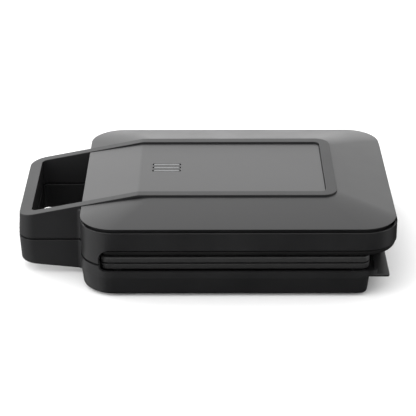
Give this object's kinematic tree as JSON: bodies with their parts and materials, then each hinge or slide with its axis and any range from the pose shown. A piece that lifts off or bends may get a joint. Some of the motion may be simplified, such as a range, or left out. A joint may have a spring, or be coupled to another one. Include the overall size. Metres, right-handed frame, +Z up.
{
  "type": "waffle maker",
  "caption": "Electric waffle maker: a low two-shell body with a rear-hinged lid, facing waffle plates and a split basket handle at the front.",
  "frame": {"origin": "on the surface it stands on, under the middle of the whole footprint", "axes": "+Z up, -Y towards the handle, +Y towards the hinge, X across"},
  "size_m": [0.2204, 0.3276, 0.0749],
  "materials": {
    "shell": "black moulded plastic, fine satin",
    "panel": "black moulded plastic, smooth satin",
    "handle": "black moulded plastic, fine satin",
    "coating": "cast plate with dark non-stick coating",
    "steel": "plain pressed and turned steel",
    "element": "sheathed heating element, heat-tinted",
    "rubber": "moulded rubber",
    "brass": "plain",
    "ceramic": "unglazed insulating ceramic",
    "lens": "smoked clear moulding",
    "lamp": "small neon lamp"
  },
  "bodies": {
    "base": {"base_housing": "shell", "bottom_cover": "shell", "lower_handle": "handle", "lower_plate": "coating", "lower_heater": "element", "lower_reflector": "steel", "thermostat": "ceramic", "terminal_block": "ceramic", "cord_inlet_bush": "rubber", "rubber_foot_1": "rubber", "lower_plate_spacer_1": "steel", "lower_plate_screw_1": "steel", "rubber_foot_2": "rubber", "lower_plate_spacer_2": "steel", "lower_plate_screw_2": "steel", "rubber_foot_3": "rubber", "lower_plate_spacer_3": "steel", "lower_plate_screw_3": "steel", "rubber_foot_4": "rubber", "lower_plate_spacer_4": "steel", "lower_plate_screw_4": "steel", "hinge_bracket_right": "steel", "hinge_pin_right": "steel", "hinge_clip_right": "steel", "hinge_bracket_left": "steel", "hinge_pin_left": "steel", "hinge_clip_left": "steel"},
    "lid": {"lid_cover": "shell", "lid_wall": "shell", "lid_deck": "shell", "upper_handle": "handle", "top_panel": "panel", "indicator_lens": "lens", "lamp_holder": "ceramic", "power_lamp": "lamp", "ready_lamp": "lamp", "upper_plate": "coating", "upper_heater": "element", "upper_reflector": "steel", "thermal_fuse": "brass", "upper_plate_spacer_1": "steel", "upper_plate_screw_1": "steel", "upper_plate_spacer_2": "steel", "upper_plate_screw_2": "steel", "upper_plate_spacer_3": "steel", "upper_plate_screw_3": "steel", "upper_plate_spacer_4": "steel", "upper_plate_screw_4": "steel", "hinge_lug_right": "steel", "hinge_lug_left": "steel"}
  },
  "joints": [
    {"name": "lid_hinge", "type": "hinge", "parent": "base", "child": "lid", "pos_m": [0, 0.1516, 0.0298], "axis": [-1, 0, 0], "range_deg": [0, 100]}
  ]
}
